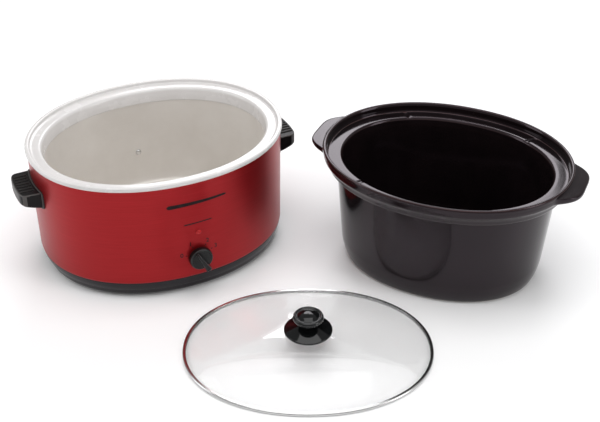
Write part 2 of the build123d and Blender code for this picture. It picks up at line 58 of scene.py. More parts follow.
# ================================================================== materials
class Mat:
    """A Principled material with short helpers for its node tree."""

    def __init__(self, name, **values):
        self.m = bpy.data.materials.new(name)
        self.m.use_nodes = True
        self.t = self.m.node_tree
        self.b = self.t.nodes["Principled BSDF"]
        self.vals(**values)
        self.tc = self.new("ShaderNodeTexCoord")
        self.bumps = None

    def vals(self, **values):
        for k, v in values.items():
            self.b.inputs[k.replace("_", " ")].default_value = v

    def new(self, kind, **props):
        n = self.t.nodes.new(kind)
        for k, v in props.items():
            setattr(n, k, v)
        return n

    def link(self, a, b):
        self.t.links.new(a, b)

    def coords(self, scale=(1, 1, 1)):
        mp = self.new("ShaderNodeMapping")
        mp.inputs["Scale"].default_value = scale
        self.link(self.tc.outputs["Object"], mp.inputs["Vector"])
        return mp.outputs["Vector"]

    def noise(self, scale, detail=4.0, rough=0.55, stretch=(1, 1, 1), dist=0.0):
        n = self.new("ShaderNodeTexNoise")
        n.inputs["Scale"].default_value = scale
        n.inputs["Detail"].default_value = detail
        n.inputs["Roughness"].default_value = rough
        n.inputs["Distortion"].default_value = dist
        self.link(self.coords(stretch), n.inputs["Vector"])
        return n.outputs["Fac"]

    def attr(self, name):
        n = self.new("ShaderNodeAttribute")
        n.attribute_name = name
        return n.outputs["Fac"]

    def ramp(self, fac, stops, mode="LINEAR"):
        n = self.new("ShaderNodeValToRGB")
        n.color_ramp.interpolation = mode
        e = n.color_ramp.elements
        while len(e) < len(stops):
            e.new(0.5)
        for el, (p, c) in zip(e, stops):
            el.position = p
            el.color = (*c, 1) if len(c) == 3 else c
        self.link(fac, n.inputs["Fac"])
        return n.outputs["Color"]

    def remap(self, fac, lo, hi, a=0.0, b=1.0, smooth=False):
        n = self.new("ShaderNodeMapRange")
        if smooth:
            n.interpolation_type = "SMOOTHSTEP"
        for k, v in (("From Min", a), ("From Max", b), ("To Min", lo), ("To Max", hi)):
            n.inputs[k].default_value = v
        self.link(fac, n.inputs["Value"])
        return n.outputs["Result"]

    def math(self, op, a, b=None):
        n = self.new("ShaderNodeMath", operation=op)
        for i, v in enumerate((a, b)):
            if v is None:
                continue
            if isinstance(v, (int, float)):
                n.inputs[i].default_value = v
            else:
                self.link(v, n.inputs[i])
        return n.outputs["Value"]

    def mix(self, fac, a, b, blend="MIX"):
        n = self.new("ShaderNodeMix", data_type="RGBA", blend_type=blend)
        if isinstance(fac, (int, float)):
            n.inputs["Factor"].default_value = fac
        else:
            self.link(fac, n.inputs["Factor"])
        for sock, v in ((n.inputs[6], a), (n.inputs[7], b)):
            if isinstance(v, tuple):
                sock.default_value = (*v, 1) if len(v) == 3 else v
            else:
                self.link(v, sock)
        return n.outputs[2]

    def color(self, c):
        self.link(c, self.b.inputs["Base Color"])
        return self

    def rough(self, r):
        self.link(r, self.b.inputs["Roughness"])
        return self

    def bump(self, height, strength, distance):
        n = self.new("ShaderNodeBump")
        n.inputs["Strength"].default_value = strength
        n.inputs["Distance"].default_value = distance
        self.link(height, n.inputs["Height"])
        if self.bumps is not None:
            self.link(self.bumps, n.inputs["Normal"])
        self.bumps = n.outputs["Normal"]
        self.link(self.bumps, self.b.inputs["Normal"])
        return self


def mat_red():
    m = Mat("red_metallic", Metallic=0.72, Coat_Weight=0.10, Coat_Roughness=0.16, Coat_IOR=1.45)
    brush = m.noise(1.0, 6, 0.7, (16, 16, 1500))
    fine = m.noise(1.0, 3, 0.6, (50, 50, 4200))
    cloud = m.noise(9.0, 3, 0.5)
    edge = m.attr("edge")
    c = m.ramp(brush, [(0.28, (0.268, 0.003, 0.005)), (0.5, (0.318, 0.005, 0.008)), (0.72, (0.380, 0.009, 0.013))])
    c = m.mix(m.remap(cloud, 0.0, 0.14, 0.35, 0.7), c, (0.25, 0.004, 0.007))
    # painted highlight: the red is lightened along the rolled edges, where light catches them
    c = m.mix(m.math("MULTIPLY", edge, 0.5), c, (0.60, 0.05, 0.06))
    m.color(c)
    m.rough(m.math("ADD", m.remap(brush, 0.33, 0.41, 0.3, 0.7), m.remap(fine, -0.02, 0.03, 0.3, 0.7)))
    m.bump(brush, 0.05, 0.00005)
    return m.m


def mat_collar():
    m = Mat("white_collar", Coat_Weight=0.35, Coat_Roughness=0.08, IOR=1.49)
    cloud = m.noise(26.0, 4, 0.55)
    speck = m.noise(900.0, 2, 0.5)
    edge = m.attr("edge")
    c = m.ramp(cloud, [(0.3, (0.625, 0.605, 0.595)), (0.7, (0.670, 0.652, 0.645))])
    c = m.mix(m.remap(speck, 0.0, 0.10, 0.60, 0.75), c, (0.60, 0.585, 0.565))
    # painted highlight: the white is lightened along the bead and the other rounded edges
    c = m.mix(m.math("MULTIPLY", edge, 0.45), c, (0.84, 0.835, 0.825))
    m.color(c)
    m.rough(m.remap(cloud, 0.20, 0.30, 0.3, 0.7))
    m.bump(speck, 0.06, 0.00004)
    return m.m


def mat_liner():
    m = Mat("liner_metal", Metallic=0.30, IOR=1.5)
    around = m.noise(1.0, 5, 0.6, (14, 14, 700))
    cloud = m.noise(11.0, 4, 0.6)
    fine = m.noise(1500.0, 2, 0.5)
    edge = m.attr("edge")
    c = m.ramp(cloud, [(0.3, (0.66, 0.625, 0.585)), (0.7, (0.74, 0.710, 0.675))])
    c = m.mix(m.remap(around, 0.0, 0.22, 0.35, 0.75), c, (0.74, 0.715, 0.68))
    # painted highlight: the metal is lightened along its rolled edges
    c = m.mix(m.math("MULTIPLY", edge, 0.5), c, (0.84, 0.82, 0.80))
    m.color(c)
    m.rough(m.math("ADD", m.remap(around, 0.40, 0.52, 0.3, 0.7), m.remap(fine, -0.03, 0.04, 0.3, 0.7)))
    m.bump(around, 0.08, 0.00006)
    return m.m


def mat_black(name, base, rough, coat=0.0, grain=0.0, grain_scale=1400.0, edge_highlight=(0.05, 0.05, 0.052), ior=1.36):
    m = Mat(name, Coat_Weight=coat, Coat_Roughness=0.05, IOR=ior)
    cloud = m.noise(40.0, 4, 0.6)
    g = m.noise(grain_scale, 3, 0.6)
    edge = m.attr("edge")
    c = m.mix(m.remap(cloud, 0.0, 0.6, 0.35, 0.7), base, tuple(v * 1.7 + 0.002 for v in base))
    # painted highlight: the edges are mixed towards a much lighter grey, standing in for light caught along the rims
    c = m.mix(m.math("MULTIPLY", edge, 0.6), c, edge_highlight)
    m.color(c)
    m.rough(m.math("ADD", m.remap(cloud, rough * 0.9, rough * 1.15, 0.3, 0.7),
                   m.remap(g, -0.03, 0.03, 0.3, 0.7)))
    if grain:
        m.bump(g, grain, 0.00012)
    return m.m


def mat_glaze():
    m = Mat("black_glaze", IOR=1.38, Specular_Tint=(1.0, 0.86, 0.97, 1.0))
    cloud = m.noise(14.0, 5, 0.6)
    speck = m.noise(420.0, 3, 0.6)
    wave = m.noise(30.0, 3, 0.45)
    edge = m.attr("edge")
    c = m.ramp(cloud, [(0.3, (0.0040, 0.0026, 0.0030)), (0.7, (0.0085, 0.0055, 0.0062))])
    c = m.mix(m.remap(speck, 0.0, 0.45, 0.62, 0.80), c, (0.030, 0.018, 0.016))
    c = m.mix(m.math("MULTIPLY", edge, m.remap(cloud, 0.45, 0.95, 0.3, 0.7)), c, (0.085, 0.040, 0.036))
    m.color(c)
    m.rough(m.remap(cloud, 0.07, 0.13, 0.3, 0.7))
    m.bump(wave, 0.05, 0.0003)
    m.bump(speck, 0.05, 0.00008)
    return m.m


def mat_foot():
    m = Mat("bare_stoneware")
    cloud = m.noise(30.0, 4, 0.6)
    grit = m.noise(700.0, 3, 0.7)
    m.color(m.ramp(cloud, [(0.3, (0.30, 0.25, 0.20)), (0.7, (0.42, 0.36, 0.29))]))
    m.rough(m.remap(grit, 0.75, 0.95, 0.3, 0.7))
    m.bump(grit, 0.3, 0.0002)
    return m.m


def mat_glass():
    m = Mat("lid_glass_clear", Transmission_Weight=1.0, IOR=1.46, Roughness=0.0, Alpha=0.30)
    cloud = m.noise(18.0, 3, 0.5)
    edge = m.attr("edge")
    c = m.mix(m.math("MULTIPLY", edge, 0.7), (0.985, 0.988, 0.988), (0.84, 0.90, 0.88))
    c = m.mix(m.remap(cloud, 0.0, 0.03, 0.3, 0.7), c, (0.94, 0.95, 0.95))
    m.color(c)
    m.rough(m.remap(cloud, 0.0, 0.018, 0.35, 0.75))
    return m.m


def mat_steel(name, base=(0.62, 0.62, 0.62), rough=0.28, brush=(40, 40, 40)):
    m = Mat(name, Metallic=1.0)
    b = m.noise(1.0, 4, 0.6, brush)
    g = m.noise(800.0, 2, 0.5)
    edge = m.attr("edge")
    c = m.mix(m.remap(b, 0.0, 0.6, 0.3, 0.7), tuple(v * 0.86 for v in base), base)
    # painted highlight: the steel is brightened along its edges
    c = m.mix(m.math("MULTIPLY", edge, 0.5), c, tuple(min(1.0, v * 1.3) for v in base))
    m.color(c)
    m.rough(m.math("ADD", m.remap(b, rough * 0.8, rough * 1.3, 0.3, 0.7), m.remap(g, -0.03, 0.03, 0.3, 0.7)))
    m.bump(g, 0.05, 0.00005)
    return m.m


def mat_lens():
    m = Mat("red_lens", Transmission_Weight=0.2, IOR=1.40, Coat_Weight=0.15, Coat_Roughness=0.03)
    n = m.noise(300.0, 3, 0.5)
    m.color(m.ramp(n, [(0.3, (0.42, 0.003, 0.006)), (0.7, (0.62, 0.008, 0.012))]))
    m.rough(m.remap(n, 0.10, 0.2, 0.3, 0.7))
    m.bump(n, 0.08, 0.0001)
    return m.m


def mat_plain(name, a, b, rough=0.5, scale=60.0, grain=500.0, bump=0.15, dist=0.0001, **vals):
    m = Mat(name, **vals)
    n = m.noise(scale, 4, 0.6)
    g = m.noise(grain, 3, 0.6)
    m.color(m.ramp(n, [(0.3, a), (0.7, b)]))
    m.rough(m.math("ADD", m.remap(n, rough * 0.9, rough * 1.1, 0.3, 0.7), m.remap(g, -0.04, 0.04, 0.3, 0.7)))
    m.bump(g, bump, dist)
    return m.m


def mat_sleeve():
    m = Mat("woven_sleeve", Roughness=0.85, Sheen_Weight=0.3)
    w1 = m.new("ShaderNodeTexWave", wave_type="BANDS", bands_direction="DIAGONAL")
    w1.inputs["Scale"].default_value = 260.0
    w1.inputs["Distortion"].default_value = 0.6
    m.link(m.coords(), w1.inputs["Vector"])
    n = m.noise(90.0, 4, 0.6)
    m.color(m.mix(m.remap(n, 0.0, 0.5, 0.3, 0.7), m.ramp(w1.outputs["Fac"], [
        (0.2, (0.56, 0.53, 0.46)), (0.8, (0.74, 0.72, 0.66))]), (0.62, 0.58, 0.50)))
    m.bump(w1.outputs["Fac"], 0.5, 0.0003)
    return m.m


def mat_print():
    m = Mat("printed_mark", Roughness=0.5, IOR=1.25)
    n = m.noise(260.0, 4, 0.6)
    m.color(m.ramp(n, [(0.3, (0.006, 0.003, 0.004)), (0.7, (0.014, 0.008, 0.009))]))
    m.rough(m.remap(n, 0.36, 0.5, 0.3, 0.7))
    return m.m


RED, COLLAR, LINER = mat_red(), mat_collar(), mat_liner()
# the lighter edge colours given for the plinth, handles and knob are painted highlights along their rims
PLINTH = mat_black("black_plinth", (0.0060, 0.0042, 0.0062), 0.22, coat=0.0, grain=0.05, edge_highlight=(0.035, 0.035, 0.037))
HANDLE = mat_black("black_phenolic", (0.0045, 0.0036, 0.0038), 0.32, coat=0.0, grain=0.16, edge_highlight=(0.140, 0.132, 0.128), ior=1.26)
KNOB = mat_black("black_gloss", (0.0030, 0.0034, 0.0036), 0.08, coat=0.0, grain=0.02, edge_highlight=(0.150, 0.150, 0.155), ior=1.36)
GLAZE, FOOT = mat_glaze(), mat_foot()
GLASS = mat_glass()
BAND = mat_steel("rolled_stainless", (0.66, 0.66, 0.66), 0.18, (30, 30, 500))
ZINC = mat_steel("zinc_steel", (0.58, 0.58, 0.60), 0.34)
BRASS = mat_steel("brass_parts", (0.72, 0.55, 0.26), 0.32)
STAINLESS = mat_steel("stainless_small", (0.70, 0.70, 0.70), 0.20)
LENS = mat_lens()
LAMP = mat_plain("glow_lamp_glass", (0.80, 0.45, 0.30), (0.95, 0.62, 0.42), 0.10, bump=0.02, Transmission_Weight=0.6)
RUBBER = mat_plain("grey_rubber", (0.030, 0.030, 0.031), (0.055, 0.055, 0.056), 0.75, bump=0.25)
CREAM = mat_plain("cream_moulding", (0.66, 0.61, 0.50), (0.76, 0.71, 0.60), 0.5)
SILICONE = mat_plain("silicone", (0.62, 0.62, 0.60), (0.74, 0.74, 0.72), 0.45, bump=0.05)
LEADS = mat_plain("lead_sleeve", (0.66, 0.64, 0.58), (0.80, 0.78, 0.72), 0.55, grain=1200.0)
SLEEVE = mat_sleeve()
PRINT = mat_print()


# ============================================================== mesh builders
def unit_oval(u, n=SQUARE):
    c, s = math.cos(u), math.sin(u)
    r = (abs(c) ** n + abs(s) ** n) ** (-1 / n)
    return r * c, r * s


def rounded(profile, n=5):
    """Profile of (a, b, z[, radius]) with its corners rounded.
    Gives the points and how sharp the corner was that each came from."""
    pts = [np.array(p[:3], float) for p in profile]
    rad = [p[3] if len(p) > 3 else 0.0 for p in profile]
    out, edge = [], []
    for i, (p, r) in enumerate(zip(pts, rad)):
        if r <= 0 or i in (0, len(pts) - 1):
            out.append(p)
            edge.append(0.0)
            continue
        a, b = pts[i - 1] - p, pts[i + 1] - p
        la, lb = np.linalg.norm(a), np.linalg.norm(b)
        ra, rb = min(r, la * 0.49), min(r, lb * 0.49)
        s, e = p + a / la * ra, p + b / lb * rb
        turn = 1 - float(np.dot(a, -b) / (la * lb))
        for k in range(n + 1):
            t = k / n
            out.append((1 - t) ** 2 * s + 2 * t * (1 - t) * p + t * t * e)
            edge.append(min(1.0, turn) * (1 - abs(2 * t - 1)) if r < 3 else 0.0)
    return out, edge


def divided(points, edge, step):
    """Adds points on long runs, so the quads stay even."""
    out, ed = [points[0]], [edge[0]]
    for p, q, e in zip(points[:-1], points[1:], edge[1:]):
        k = max(1, int(math.ceil(np.linalg.norm(q - p) / step)))
        for i in range(1, k + 1):
            out.append(p + (q - p) * i / k)
            ed.append(e if i == k else 0.0)
    return out, ed


def loft(name, points, edge, seg, group, closed=False, cap=(False, False), warp=None, mats=None, row_mat=None):
    """Rows of ovals joined into a mesh. warp(u, row, x, y, z) may move a point."""
    rows = len(points)
    us = [2 * math.pi * i / seg for i in range(seg)]
    unit = [unit_oval(u) for u in us]
    verts, ev = [], []
    for r, p in enumerate(points):
        for u, (cx, cy) in zip(us, unit):
            x, y, z = p[0] * cx, p[1] * cy, p[2]
            if warp:
                x, y, z = warp(u, r, x, y, z)
            verts.append((x * MM, y * MM, z * MM))
            ev.append(edge[r])
    faces, fm = [], []
    for r in range(rows if closed else rows - 1):
        s = (r + 1) % rows
        for i in range(seg):
            j = (i + 1) % seg
            faces.append((r * seg + i, r * seg + j, s * seg + j, s * seg + i))
            fm.append(row_mat(r) if row_mat else 0)
    for k, row in ((0, 0), (1, rows - 1)):
        if not cap[k] or closed:
            continue
        # rings shrinking to a centre, so the cap shades flat and even
        last = [row * seg + i for i in range(seg)]
        z = points[row][2]
        for f in (0.66, 0.33):
            start = len(verts)
            for cx, cy in unit:
                verts.append((points[row][0] * f * cx * MM, points[row][1] * f * cy * MM, z * MM))
                ev.append(0.0)
            new = [start + i for i in range(seg)]
            for i in range(seg):
                j = (i + 1) % seg
                faces.append((last[i], last[j], new[j], new[i]) if k else (last[j], last[i], new[i], new[j]))
                fm.append(row_mat(row) if row_mat else 0)
            last = new
        c = len(verts)
        verts.append((0, 0, z * MM))
        ev.append(0.0)
        for i in range(seg):
            j = (i + 1) % seg
            faces.append((last[i], last[j], c) if k else (last[j], last[i], c))
            fm.append(row_mat(row) if row_mat else 0)
    return mesh_object(name, verts, faces, group, ev, fm, mats)


def mesh_object(name, verts, faces, group, edge=None, face_mats=None, mats=None, smooth=True):
    me = bpy.data.meshes.new(name)
    me.from_pydata(verts, [], faces)
    me.update()
    if edge is not None:
        at = me.attributes.new("edge", "FLOAT", "POINT")
        at.data.foreach_set("value", np.array(edge, dtype=np.float32))
    bm = bmesh.new()
    bm.from_mesh(me)
    bmesh.ops.recalc_face_normals(bm, faces=bm.faces)
    bm.to_mesh(me)
    bm.free()
    for mt in mats or []:
        me.materials.append(mt)
    if face_mats is not None:
        me.polygons.foreach_set("material_index", face_mats)
    me.polygons.foreach_set("use_smooth", [smooth] * len(me.polygons))
    me.update()
    me.transform(place(group))
    me.update()
    o = bpy.data.objects.new(name, me)
    bpy.context.scene.collection.objects.link(o)
    return o


def sharpen(o, degrees=34):
    """Marks edges sharper than this, so flats stay flat and rounds stay round."""
    bm = bmesh.new()
    bm.from_mesh(o.data)
    lim = math.radians(degrees)
    for e in bm.edges:
        if len(e.link_faces) == 2 and e.calc_face_angle(0) > lim:
            e.smooth = False
    bm.to_mesh(o.data)
    bm.free()
    return o


def lathe(name, profile, group, at=(0, 0, 0), axis=None, seg=96, mats=None, n=5, step=2.5):
    """Round piece: profile of (radius, height[, corner radius])."""
    prof = [(p[0], p[0], p[1]) + ((p[2],) if len(p) > 2 else ()) for p in profile]
    pts, ed = rounded(prof, n)
    pts, ed = divided(pts, ed, step)
    verts, faces, ev = [], [], []
    rows = []
    for p, e in zip(pts, ed):
        if p[0] < 1e-6:
            rows.append([len(verts)])
            verts.append(Vector((0, 0, p[2])))
            ev.append(e)
        else:
            rows.append(list(range(len(verts), len(verts) + seg)))
            for i in range(seg):
                u = 2 * math.pi * i / seg
                verts.append(Vector((p[0] * math.cos(u), p[0] * math.sin(u), p[2])))
                ev.append(e)
    for r, s in zip(rows[:-1], rows[1:]):
        for i in range(seg):
            j = (i + 1) % seg
            if len(r) == 1 and len(s) == 1:
                continue
            if len(r) == 1:
                faces.append((r[0], s[j], s[i]))
            elif len(s) == 1:
                faces.append((r[i], r[j], s[0]))
            else:
                faces.append((r[i], r[j], s[j], s[i]))
    turn = Matrix.Identity(4)
    if axis is not None:
        turn = Vector((0, 0, 1)).rotation_difference(Vector(axis)).to_matrix().to_4x4()
    m = Matrix.Translation(Vector(at)) @ turn
    verts = [tuple((m @ v) * MM) for v in verts]
    return mesh_object(name, verts, faces, group, ev, None, mats)


def done(o, body, *nodes, slot=None):
    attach(o, body)
    if nodes:
        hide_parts(*nodes)
    return o


def lerp(a, b, t):
    return a + (b - a) * t


# ================================================================== the base
SHELL_LO, SHELL_HI = (190.8, 157.4, 29.4), (192.6, 158.6, 192.6)


def shell_at(z):
    k = (z - SHELL_LO[2]) / (SHELL_HI[2] - SHELL_LO[2])
    return tuple(SHELL_LO[i] + k * (SHELL_HI[i] - SHELL_LO[i]) for i in (0, 1))


def shell_front(x, z, out=0.0):
    """y of the shell's front wall."""
    a, b = shell_at(z)
    return -b * (1 - (abs(x) / a) ** SQUARE) ** (1 / SQUARE) - out


def shell_side(y, z):
    """x of the shell's right wall."""
    a, b = shell_at(z)
    return a * (1 - (abs(y) / b) ** SQUARE) ** (1 / SQUARE)


lo, hi = SHELL_LO, SHELL_HI
pts, ed = rounded([
    (hi[0] - 1.0, hi[1] - 1.0, hi[2]), (hi[0], hi[1], hi[2], 0.3),
    (lo[0] + 0.04, lo[1] + 0.04, lo[2] + 2.6, 1.2), (lo[0] - 0.3, lo[1] - 0.3, lo[2] + 0.9, 0.8),
    (lo[0] - 0.7, lo[1] - 0.7, lo[2], 0.3), (lo[0] - 1.0, lo[1] - 1.0, lo[2] + 0.2),
    (hi[0] - 1.0, hi[1] - 1.0, hi[2])], 4)
pts, ed = divided(pts[:-1], ed[:-1], 14)
shell = loft("shell_visual", pts, ed, 384, "base", closed=True, mats=[RED])
done(shell, "base", "outer_shell_front", "outer_shell_right", "outer_shell_back", "outer_shell_left",
     slot="red_shell")

pts, ed = rounded([
    (192.8, 158.8, 192.6), (192.8, 158.8, 190.4), (194.6, 159.7, 190.3, 0.4), (195.4, 160.5, 193.0, 1.7),
    (194.7, 159.8, 196.6, 2.0), (191.4, 156.7, 197.2, 1.7), (188.9, 154.4, 196.7, 1.5),
    (188.1, 153.6, 192.2, 0.9), (185.2, 150.7, 191.1, 1.6), (173.4, 139.0, 191.0, 2.2),
    (171.0, 136.1, 188.2, 2.4), (169.2, 133.5, 178.0, 3.0), (168.4, 132.6, 171.3, 0.5),
    (168.9, 133.1, 170.4, 0.4), (171.0, 136.6, 170.4), (172.9, 138.8, 188.6), (186.0, 151.4, 188.6),
    (189.0, 154.6, 182.6), (191.2, 157.2, 182.6), (191.5, 157.5, 192.6), (192.8, 158.8, 192.6)], 5)
pts, ed = divided(pts[:-1], ed[:-1], 4)
collar = loft("rim_collar_visual", pts, ed, 384, "base", closed=True, mats=[COLLAR])
done(sharpen(collar, 50), "base", "rim_collar", slot="white_collar")

pts, ed = rounded([
    (143.0, 109.6, 24.8), (144.5, 111.1, 26.0, 1.0), (148.0, 114.6, 26.0, 1.2), (157.6, 124.2, 26.6, 7.0),
    (160.4, 127.0, 36.0, 4.0), (161.2, 127.8, 44.0, 3.0), (169.2, 133.6, 170.4, 0.6), (182.0, 148.4, 170.4, 0.4),
    (182.0, 148.4, 169.4, 0.4), (170.2, 134.6, 169.4, 0.6), (162.2, 128.8, 44.0, 3.0), (161.4, 128.0, 35.6, 4.0),
    (158.4, 125.0, 25.6, 7.0), (148.2, 114.8, 25.0, 1.2), (144.1, 110.7, 25.0, 1.0), (142.6, 109.2, 23.8)], 7)
pts, ed = divided(pts, ed, 10)
well = loft("heating_well_visual", pts, ed, 320, "base", cap=(True, True), mats=[LINER])
done(sharpen(well, 60), "base", "heating_well", slot="liner_metal")

pts, ed = rounded([
    (172.0, 142.0, 4.7), (179.4, 149.2, 4.7, 0.8), (183.0, 152.2, 8.0, 2.4), (184.8, 153.5, 15.5, 0.9),
    (186.2, 154.7, 16.2, 0.7), (188.5, 156.1, 21.4, 3.0), (190.1, 156.9, 28.4, 0.8), (189.9, 156.6, 29.35, 0.2),
    (189.5, 156.1, 29.4), (189.6, 156.2, 40.0), (187.5, 154.1, 40.0), (186.9, 153.6, 28.0), (181.4, 150.0, 14.0),
    (176.5, 146.6, 10.4), (164.0, 134.0, 10.4), (164.0, 134.0, 8.0), (172.0, 142.0, 8.0), (172.0, 142.0, 4.7)], 5)
pts, ed = divided(pts[:-1], ed[:-1], 6)
plinth = loft("plinth_visual", pts, ed, 384, "base", closed=True, mats=[PLINTH])
done(sharpen(plinth, 50), "base", "plinth", slot="black_plinth")


# handles: ribbed top, tapered underside, thin flange against the shell
HANDLE_TOP = 153.7


GROOVES = [7.6 * k for k in range(-3, 4)]


def handle_half(u):
    """Half width of the handle at u, from 0 at the shell to 1 at the tip."""
    return 35.8 - 1.2 * u


def groove_depth(y):
    """How deep the grip's groove is at y: flat floor, steep flanks."""
    d = min(abs(y - g) for g in GROOVES)
    if d <= 1.75:
        return 2.4
    if d <= 2.15:
        return lerp(2.4, 0.25, (d - 1.75) / 0.4)
    return 0.25 * max(0.0, 1 - (d - 2.15) / 0.45)


def pushed(d1, d2, r):
    """Moves a point near the corner of two faces onto a round of radius r."""
    if d1 >= r or d2 >= r:
        return 0.0, 0.0
    p, q = (r - d1) / r, (r - d2) / r
    l = math.hypot(p, q)
    k = max(p, q) / l if l > 0 else 1.0
    return (p - p * k) * r, (q - q * k) * r


def handle_mesh(name, sx):
    ys = set()
    for g in GROOVES:
        for d in (0, 0.7, 1.3, 1.75, 1.95, 2.15, 2.6, 3.2, 3.8):
            ys.add(round(g + d, 3))
            ys.add(round(g - d, 3))
    for e in (28.2, 29.8, 31.2, 32.4, 33.2, 33.9, 34.4, 34.9, 35.25, 35.5, 35.68, 35.8):
        ys.add(e)
        ys.add(-e)
    vs = [y / 35.8 for y in sorted(ys)]
    us = [i / 34 * 0.86 for i in range(35)] + [0.87 + 0.13 * i / 13 for i in range(14)]
    ws = [0, 0.02, 0.045, 0.08, 0.13, 0.25, 0.4, 0.55, 0.7, 0.82, 0.88, 0.925, 0.95, 0.97, 0.985, 1.0]
    nu, nv, nw = len(us) - 1, len(vs) - 1, len(ws) - 1
    verts, faces, ev, index = [], [], [], {}

    def vert(i, j, k):
        key = (i, j, k)
        if key in index:
            return index[key]
        u, v, w = us[i], vs[j], ws[k]
        half = handle_half(u)
        y = v * half
        tip = 221.0 - 2.6 * v * v - 5.0 * abs(v) ** 8
        x = lerp(shell_side(min(abs(y), 40), 142) + 0.15, tip, u)
        under = lerp(127.8, 135.6, u ** 1.5)
        z = lerp(under, HANDLE_TOP, w)
        dy, dx, dt, db = half - abs(y), tip - x, HANDLE_TOP - z, z - under
        side = 1 if y >= 0 else -1
        # edge value places the handle's painted highlight: the top rims and the tip corners
        e = 1.0 if (min(dy, dx) < 1.6 and dt < 1.6) or (dx < 3 and dy < 3) else 0.0
        a1, a2 = pushed(dy, dt, 1.5)
        b1, b2 = pushed(dx, dt, 1.8)
        c1, c2 = pushed(dy, dx, 3.0)
        d1, d2 = pushed(dy, db, 1.8)
        f1, f2 = pushed(dx, db, 2.6)
        y -= side * (a1 + c1 + d1)
        x -= b1 + c2 + f1
        z += d2 + f2 - a2 - b2
        if k == nw and dx > 2.6 and x > 196.6 and dy > 3.0:
            g = groove_depth(v * 35.8)
            fade = min(1.0, (dx - 2.6) / 1.0) * min(1.0, (x - 196.6) / 0.9)
            z -= g * max(0.0, fade)
            # the groove flanks get a fainter painted highlight
            if 0.2 < g < 2.3:
                e = 0.8
        index[key] = len(verts)
        verts.append((sx * x * MM, y * MM, z * MM))
        ev.append(e)
        return index[key]

    for i in range(nu):
        for j in range(nv):
            faces.append((vert(i, j, nw), vert(i + 1, j, nw), vert(i + 1, j + 1, nw), vert(i, j + 1, nw)))
            faces.append((vert(i, j, 0), vert(i, j + 1, 0), vert(i + 1, j + 1, 0), vert(i + 1, j, 0)))
        for k in range(nw):
            faces.append((vert(i, 0, k), vert(i + 1, 0, k), vert(i + 1, 0, k + 1), vert(i, 0, k + 1)))
            faces.append((vert(i, nv, k), vert(i, nv, k + 1), vert(i + 1, nv, k + 1), vert(i + 1, nv, k)))
    for j in range(nv):
        for k in range(nw):
            faces.append((vert(0, j, k), vert(0, j, k + 1), vert(0, j + 1, k + 1), vert(0, j + 1, k)))
            faces.append((vert(nu, j, k), vert(nu, j + 1, k), vert(nu, j + 1, k + 1), vert(nu, j, k + 1)))
    body = sharpen(mesh_object(name, verts, faces, "base", ev, None, [HANDLE]), 32)

    # flange: a thin plate that follows the shell, with rounded corners
    hy, hz, zc, cr = 38.8, 14.9, 140.6, 5.0
    ss = [-1 + 2 * i / 60 for i in range(61)]
    ts = [-1 + 2 * i / 28 for i in range(29)]
    fv, ff, fe, idx = [], [], [], {}

    def fvert(i, j, layer):
        key = (i, j, layer)
        if key not in idx:
            y, z = ss[i] * hy, ts[j] * hz
            cy, cz = hy - cr, hz - cr
            if abs(y) > cy and abs(z) > cz:
                p, q = (abs(y) - cy) / cr, (abs(z) - cz) / cr
                k = max(p, q) / math.hypot(p, q)
                y = math.copysign(cy + p * k * cr, y)
                z = math.copysign(cz + q * k * cr, z)
            z += zc
            rim = i in (0, 60) or j in (0, 28)
            near = i in (1, 59) or j in (1, 27)
            out = (0.1, 2.3 if rim else 3.0 if near else 3.15)[layer]
            idx[key] = len(fv)
            fv.append((sx * (shell_side(abs(y), z) + out) * MM, y * MM, z * MM))
            # the flange's outer rim gets the painted highlight
            fe.append(1.0 if rim and layer else 0.0)
        return idx[key]

    for i in range(60):
        for j in range(28):
            ff.append((fvert(i, j, 1), fvert(i + 1, j, 1), fvert(i + 1, j + 1, 1), fvert(i, j + 1, 1)))
            ff.append((fvert(i, j, 0), fvert(i, j + 1, 0), fvert(i + 1, j + 1, 0), fvert(i + 1, j, 0)))
        for j in (0, 28):
            ff.append((fvert(i, j, 0), fvert(i + 1, j, 0), fvert(i + 1, j, 1), fvert(i, j, 1)))
    for j in range(28):
        for i in (0, 60):
            ff.append((fvert(i, j, 0), fvert(i, j + 1, 0), fvert(i, j + 1, 1), fvert(i, j, 1)))
    flange = sharpen(mesh_object(name + "_flange", fv, ff, "base", fe, None, [HANDLE]), 40)
    return body, flange


for sx, side in ((-1, "left"), (1, "right")):
    body, flange = handle_mesh(f"handle_{side}_visual", sx)
    done(body, "base", f"handle_{side}", slot="black_handle")
    done(flange, "base", slot="black_handle")


# control column: printed marks, pilot light
DIAL_X, DIAL_Z = 5.0, 61.5
DIAL_FACE_Y = -157.65
LAMP_X, LAMP_Z = 5.0, 105.3


def printed(name, outline, n=1):
    """Thin ink shape that lies on the shell: outline of (x, z), convex."""
    verts, faces = [], []
    k = len(outline)
    for out in (0.02, 0.10):
        for x, z in outline:
            verts.append((x * MM, shell_front(x, z, out) * MM, z * MM))
    faces.append(tuple(range(k, 2 * k)))
    for i in range(k):
        j = (i + 1) % k
        faces.append((i, j, k + j, k + i))
    o = mesh_object(name, verts, faces, "base", None, None, [PRINT], smooth=False)
    return done(o, "base", slot="black_plinth")


